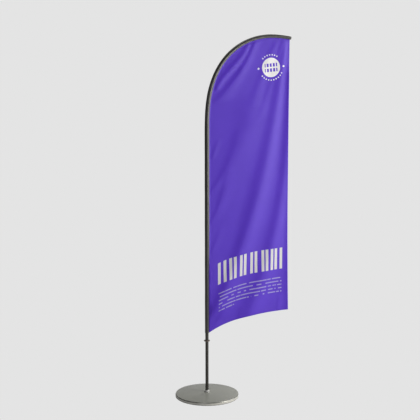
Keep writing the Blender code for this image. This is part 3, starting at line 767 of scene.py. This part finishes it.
# each fold is a ridge: its crest runs down through places (x, z); "left" and "right" are its reach to
# either side at its top, middle and bottom, "steep" its height over its left reach at the same three
# places, and it dies away over "ends" beyond both ends (all in metres)
folds = [
    # the long folds from the tip down to the seam and the bottom edge
    {"crest": ((0.578, 2.46), (0.549, 2.20), (0.468, 1.80), (0.398, 1.50), (0.282, 1.10), (0.172, 0.85),
               (0.080, 0.65)),
     "left": (0.028, 0.060, 0.042), "right": (0.018, 0.062, 0.080), "steep": (0.12, 0.18, 0.30),
     "ends": 0.10},
    {"crest": ((0.628, 2.25), (0.628, 1.90), (0.606, 1.70), (0.569, 1.50), (0.520, 1.20), (0.450, 0.88),
               (0.362, 0.68), (0.325, 0.60)),
     "left": (0.030, 0.040, 0.065), "right": (0.030, 0.045, 0.080), "steep": (0.28, 0.17, 0.20),
     "ends": 0.12},
    {"crest": ((0.330, 2.00), (0.280, 1.80), (0.200, 1.60), (0.115, 1.30)),
     "left": (0.10, 0.10, 0.05), "right": (0.13, 0.13, 0.10), "steep": (0.07, 0.045, 0.01),
     "ends": 0.20},
    # short folds that hang from the bend
    {"crest": ((0.505, 2.48), (0.473, 2.40), (0.415, 2.29), (0.390, 2.20), (0.350, 2.10)),
     "left": (0.022, 0.026, 0.040), "right": (0.030, 0.030, 0.050), "steep": (0.10, 0.10, 0.06),
     "ends": 0.06},
    {"crest": ((0.500, 2.28), (0.472, 2.20), (0.440, 2.10), (0.410, 2.02)),
     "left": (0.022, 0.022, 0.026), "right": (0.026, 0.028, 0.030), "steep": (0.05, 0.07, 0.04),
     "ends": 0.06},
    {"crest": ((0.562, 2.50), (0.544, 2.45), (0.532, 2.39)),
     "left": (0.016, 0.016, 0.018), "right": (0.020, 0.020, 0.024), "steep": (0.09, 0.09, 0.06),
     "ends": 0.05},
    {"crest": ((0.300, 2.485), (0.248, 2.40), (0.152, 2.30), (0.078, 2.20)),
     "left": (0.022, 0.024, 0.016), "right": (0.022, 0.024, 0.022), "steep": (0.16, 0.24, 0.22),
     "ends": 0.03},
    {"crest": ((0.352, 2.49), (0.325, 2.44), (0.280, 2.35), (0.248, 2.30), (0.165, 2.20), (0.110, 2.13)),
     "left": (0.015, 0.022, 0.034), "right": (0.030, 0.035, 0.050), "steep": (0.24, 0.24, 0.12),
     "ends": 0.05},
    # creases drawn out of the seam
    {"crest": ((0.245, 1.88), (0.215, 1.78), (0.160, 1.66), (0.085, 1.545), (0.055, 1.50)),
     "left": (0.045, 0.030, 0.018), "right": (0.100, 0.060, 0.030), "steep": (0.06, 0.10, 0.12),
     "ends": 0.06},
    {"crest": ((0.165, 1.61), (0.130, 1.48), (0.095, 1.38), (0.052, 1.29)),
     "left": (0.030, 0.026, 0.018), "right": (0.060, 0.050, 0.030), "steep": (0.05, 0.10, 0.12),
     "ends": 0.05},
    {"crest": ((0.080, 1.82), (0.062, 1.77), (0.048, 1.73)),
     "left": (0.016, 0.016, 0.014), "right": (0.022, 0.022, 0.020), "steep": (0.08, 0.11, 0.11),
     "ends": 0.04},
    {"crest": ((0.095, 1.18), (0.070, 1.12), (0.048, 1.07)),
     "left": (0.018, 0.018, 0.016), "right": (0.030, 0.030, 0.026), "steep": (0.06, 0.10, 0.10),
     "ends": 0.05},
    # the free edge's lower end and the corners
    {"crest": ((0.638, 1.62), (0.640, 1.20), (0.645, 0.95), (0.650, 0.75), (0.650, 0.58)),
     "left": (0.030, 0.038, 0.048), "right": (0.045, 0.045, 0.045), "steep": (0.10, 0.15, 0.19),
     "ends": 0.12},
    {"crest": ((0.556, 0.67), (0.553, 0.64), (0.545, 0.59)),
     "left": (0.018, 0.018, 0.018), "right": (0.025, 0.025, 0.025), "steep": (0.06, 0.08, 0.08),
     "ends": 0.04},
    {"crest": ((0.125, 0.62), (0.100, 0.575), (0.065, 0.525)),
     "left": (0.016, 0.016, 0.014), "right": (0.030, 0.030, 0.026), "steep": (0.08, 0.10, 0.10),
     "ends": 0.03},
    {"crest": ((0.262, 0.62), (0.254, 0.59), (0.245, 0.55)),
     "left": (0.015, 0.015, 0.015), "right": (0.030, 0.030, 0.030), "steep": (0.05, 0.06, 0.06),
     "ends": 0.03},
]


def ridge(fold, x, z):
    # height x exp(-(distance / reach)^2) from a crest line, a cubic through its places, faded at both ends
    across, heights = np.array(fold["crest"]).T
    line = np.polyfit(heights, across, min(3, len(heights) - 1))
    top, foot, ends = heights[0], heights[-1], fold["ends"]
    held = np.clip(z, foot - ends / 2, top + ends / 2)
    distance = (x - np.polyval(line, held)) / np.hypot(1, np.polyval(np.polyder(line), held))
    stops = (foot, (foot + top) / 2, top)
    left, right, steep = (np.interp(z, stops, fold[key][::-1]) for key in ("left", "right", "steep"))
    reach = np.where(distance < 0, left, right)
    fade = smooth((top + ends - z) / ends) * smooth((z - foot + ends) / ends)
    return steep * left * np.exp(-(distance / reach) ** 2) * fade


def foldHeight(x, z):
    # how far the cloth stands out towards -Y
    return sum(ridge(fold, x, z) for fold in folds)


def seamAway(grid):
    # each place's distance from the nearest place on the seam
    seam = grid[:, 0].astype(np.float32)
    places = grid.reshape(-1, 1, 2).astype(np.float32)
    return np.sqrt(((places - seam[None]) ** 2).sum(-1).min(1)).reshape(grid.shape[:2])


def freeEdgeAt(z):
    # the free edge's place at this height, a parabola
    return flag["freeEdge"] - freeEdge["in"] + freeEdge["bow"] * (z - freeEdge["middle"]) ** 2


def seamPlace(along, out=0.0):
    # (x, z) of the seam, or of a line beside it that lies further out on the cloth
    x0, z0, turn = poleAt(along)
    reach = taper(sleeve["inner"], along) - panel["seamInset"] + out
    return np.stack([x0 + reach * np.cos(turn), z0 - reach * np.sin(turn)], -1)


def outlineGrid():
    # the cloth's flat places: seam on the left and over the top, free edge on the right, hem below;
    # straight lines join the seam to the free edge, and the hem's curve dies away above it
    u = edgeDense(np.linspace(0, 1, panel["cols"]))
    v = np.linspace(0, 1, panel["rows"])
    foot = flag["sleeveFoot"] + panel["footClear"]
    seam = seamPlace(foot + (flag["lineEnd"] - panel["tipClear"] - foot) * v)
    seam[0, 1] = hemHeight(seam[0, 0])
    tip, corner = seam[-1], hemHeight(flag["freeEdge"])
    freeZ = corner + (tip[1] - corner) * v
    toTip = smooth((v - (1 - panel["tipShare"])) / panel["tipShare"])
    free = np.stack([freeEdgeAt(freeZ) + (tip[0] - freeEdgeAt(tip[1])) * toTip, freeZ], -1)
    grid = seam[:, None] * (1 - u)[None, :, None] + free[:, None] * u[None, :, None]
    chord = seam[0, 1] + (free[0, 1] - seam[0, 1]) * u
    sag = hemHeight(grid[0, :, 0]) - chord
    grid[:, :, 1] += sag[None] * ((1 - v) ** panel["sagPower"])[:, None]
    return grid


def edgeDense(t):
    # moves even steps a little towards both ends
    return t - panel["closer"] * np.sin(math.tau * t) / math.tau


def clothPlace(x, z, away):
    # the folds fade towards the seam, where the cloth leaves one side of the sleeve
    height = foldHeight(x, z) * smooth(away / panel["foldFade"])
    height = height + seamRoll(z) * (1 - smooth(away / panel["rollFade"]))
    return np.stack([x, -height, z], -1)


def makeCloth():
    # two skins half the thickness off the middle surface, thicker along the hems, joined round the rim
    grid = outlineGrid()
    x, z = grid[..., 0], grid[..., 1]
    away = seamAway(grid)
    middle = clothPlace(x, z, away)
    across = np.gradient(middle, axis=1)
    upward = np.gradient(middle, axis=0)
    normal = np.cross(across, upward)
    length = np.linalg.norm(normal, axis=-1, keepdims=True)
    normal = normal / np.maximum(length, 1e-12)
    normal[-1] = normal[-2].mean(0)
    fromEdge = np.minimum(freeEdgeAt(z) - x, z - hemHeight(x))
    hem = smooth((panel["hem"] + panel["hemStep"] / 2 - fromEdge) / panel["hemStep"])
    thick = (panel["thick"] + (panel["hemThick"] - panel["thick"]) * hem)[..., None]
    front = middle + normal * thick / 2
    back = middle - normal * thick / 2
    rows, cols = x.shape
    count = rows * cols
    ring = np.concatenate([
        np.arange(cols), np.arange(1, rows) * cols + cols - 1,
        (rows - 1) * cols + np.arange(cols - 2, -1, -1), np.arange(rows - 2, 0, -1) * cols])
    after = np.roll(ring, -1)
    rim = np.stack([after, ring, ring + count, after + count], -1)
    quads = np.concatenate([gridQuads(rows, cols), gridQuads(rows, cols, start=count, flip=True), rim])
    uv = np.concatenate([grid.reshape(-1, 2)] * 2)
    edge = np.stack([x, z - hemHeight(x)], -1).reshape(-1, 2)
    points = np.concatenate([front.reshape(-1, 3), back.reshape(-1, 3)])
    piece = addMesh("flag_cloth", points, quads, flagPrint, {"flat": uv, "print": np.concatenate([edge] * 2)})
    weld(piece)
    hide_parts("flag_panel", "side_hem", "bottom_hem")
    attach(piece, "pole")
    area = float(np.sum(length[:-1, :-1]))
    print("cloth", len(piece.data.polygons), "area", round(area, 3))


makeCloth()


# stitches

stitch = {"pitch": 3.4 * mm, "length": 2.7 * mm, "thick": 0.55 * mm, "lift": 0.05 * mm, "end": 0.3,
          "fromSeam": 5.0 * mm, "fromEdge": 8.0 * mm, "footClear": 6 * mm, "tipClear": 12 * mm,
          "cornerClear": 3 * mm, "topClear": 40 * mm, "hemStart": 26 * mm, "hemClear": 10 * mm,
          "seamReach": 14 * mm}


def evenly(places, pitch):
    # the same line with places an even pitch apart
    run = np.concatenate([[0], np.cumsum(np.linalg.norm(np.diff(places, axis=0), axis=1))])
    at = np.arange(pitch / 2, run[-1], pitch)
    return np.stack([np.interp(at, run, places[:, k]) for k in range(places.shape[1])], 1)


def makeStitches(name, line, material):
    # each stitch is a short four-sided spindle along the line: centre + along the line x half length,
    # with a square ring at its middle and a small one at each end; one row each side of the cloth
    centres = evenly(line, stitch["pitch"])
    forward = np.gradient(centres, axis=0)
    forward /= np.linalg.norm(forward, axis=1)[:, None]
    front = np.array([0, -1.0, 0])
    outward = front - forward * (forward @ front)[:, None]
    outward /= np.linalg.norm(outward, axis=1)[:, None]
    across = np.cross(forward, outward)
    lift = panel["hemThick"] / 2 + stitch["lift"]
    place = np.array([-0.5, 0.0, 0.5])[:, None, None] * stitch["length"]
    size = np.array([stitch["end"], 1.0, stitch["end"]])[:, None, None] * stitch["thick"] / 2
    corner = np.radians([45, 135, 225, 315])[:, None]
    parts = []
    square = outward[:, None] * np.sin(corner) + across[:, None] * np.cos(corner)
    for facing in (1, -1):
        middle = (centres + outward * lift * facing)[:, None, None]
        parts.append((middle + forward[:, None, None] * place + square[:, None] * size).reshape(-1, 12, 3))
    points = np.concatenate(parts)
    one = np.concatenate([gridQuads(3, 4, wrapCols=True, flip=True), [[0, 1, 2, 3]], [[11, 10, 9, 8]]])
    quads = (one[None] + 12 * np.arange(len(points))[:, None, None]).reshape(-1, 4)
    piece = addMesh(name, points, quads, material)
    faceOutwards(piece)
    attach(piece, "pole")
    print(name, len(points))


def makeAllStitches():
    # one row beside the seam, one along the free edge's hem and one along the bottom hem
    foot = flag["sleeveFoot"] + stitch["footClear"]
    along = np.linspace(foot, flag["lineEnd"] - stitch["tipClear"], 1500)
    x, z = seamPlace(along, stitch["fromSeam"]).T
    line = clothPlace(x, z, np.full(len(along), stitch["fromSeam"]))
    makeStitches("seam_stitches", line, sleeveThread)

    corner = hemHeight(flag["freeEdge"])
    top = poleAt(flag["lineEnd"])[1] - stitch["topClear"]
    z = np.linspace(corner + stitch["cornerClear"], top, 1200)
    farAway = np.full(len(z), 1.0)
    line = clothPlace(freeEdgeAt(z) - stitch["fromEdge"], z, farAway)
    makeStitches("side_hem_stitches", line, hemThread)

    x = np.linspace(stitch["hemStart"], freeEdgeAt(corner) - stitch["hemClear"], 600)
    line = clothPlace(x, hemHeight(x) + stitch["fromEdge"], x - stitch["seamReach"])
    makeStitches("bottom_hem_stitches", line, hemThread)


makeAllStitches()


# strap at the sleeve's lower end

strap = {"rise": 12 * mm, "eyelet": 2.3 * mm, "stepOut": 1.6 * mm, "stepFrom": 2 * mm, "stepOver": 3 * mm,
         "flatness": 0.12, "around": 96, "rings": 10}


def makeStrap():
    # a flat webbing loop: rings blend from the round eyelet to the strap's outline, front and back,
    # and its upper end steps out over the sleeve
    low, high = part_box("tension_strap")
    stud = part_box("strap_stud")
    eye = np.array([0, (stud[0].z + stud[1].z) / 2])
    half, top = high.x, high.z + strap["rise"]
    angle = np.linspace(0, math.tau, strap["around"], endpoint=False)
    c, s = np.cos(angle), np.sin(angle)
    up, down = top - eye[1], eye[1] - low.z
    tall = np.where(s > 0, up, down)
    stretch = 1 / np.maximum(np.abs(c) / half, np.abs(s) / tall)
    outline = np.stack([c, s], 1) * stretch[:, None]
    hole = np.stack([c, s], 1) * strap["eyelet"]
    part = np.linspace(0, 1, strap["rings"])[:, None, None]
    flat = eye + hole[None] * (1 - part) + outline[None] * part
    step = smooth((flat[..., 1] - high.z + strap["stepFrom"]) / strap["stepOver"])
    middle = (low.y + high.y) / 2 + strap["stepOut"] * step
    # nearly flat, and rounded off at the eyelet and the outline: half thickness x sin(part)^flatness
    rounded = np.sin(math.pi * (part[..., 0] * 0.96 + 0.02)) ** strap["flatness"]
    thick = (high.y - low.y) / 2 * rounded
    front = np.stack([flat[..., 0], middle - thick, flat[..., 1]], -1)
    back = np.stack([flat[..., 0], middle + thick, flat[..., 1]], -1)[::-1]
    points = np.concatenate([front, back])
    quads = gridQuads(len(points), strap["around"], wrapRows=True, wrapCols=True)
    uv = points[..., [0, 2]]
    piece = addMesh("sleeve_strap", points, quads, webbing, {"flat": uv})
    faceOutwards(piece)
    piece.data.set_sharp_from_angle(angle=math.radians(50))
    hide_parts("tension_strap")
    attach(piece, "pole")


makeStrap()
print("cloth, stitches and strap ready")
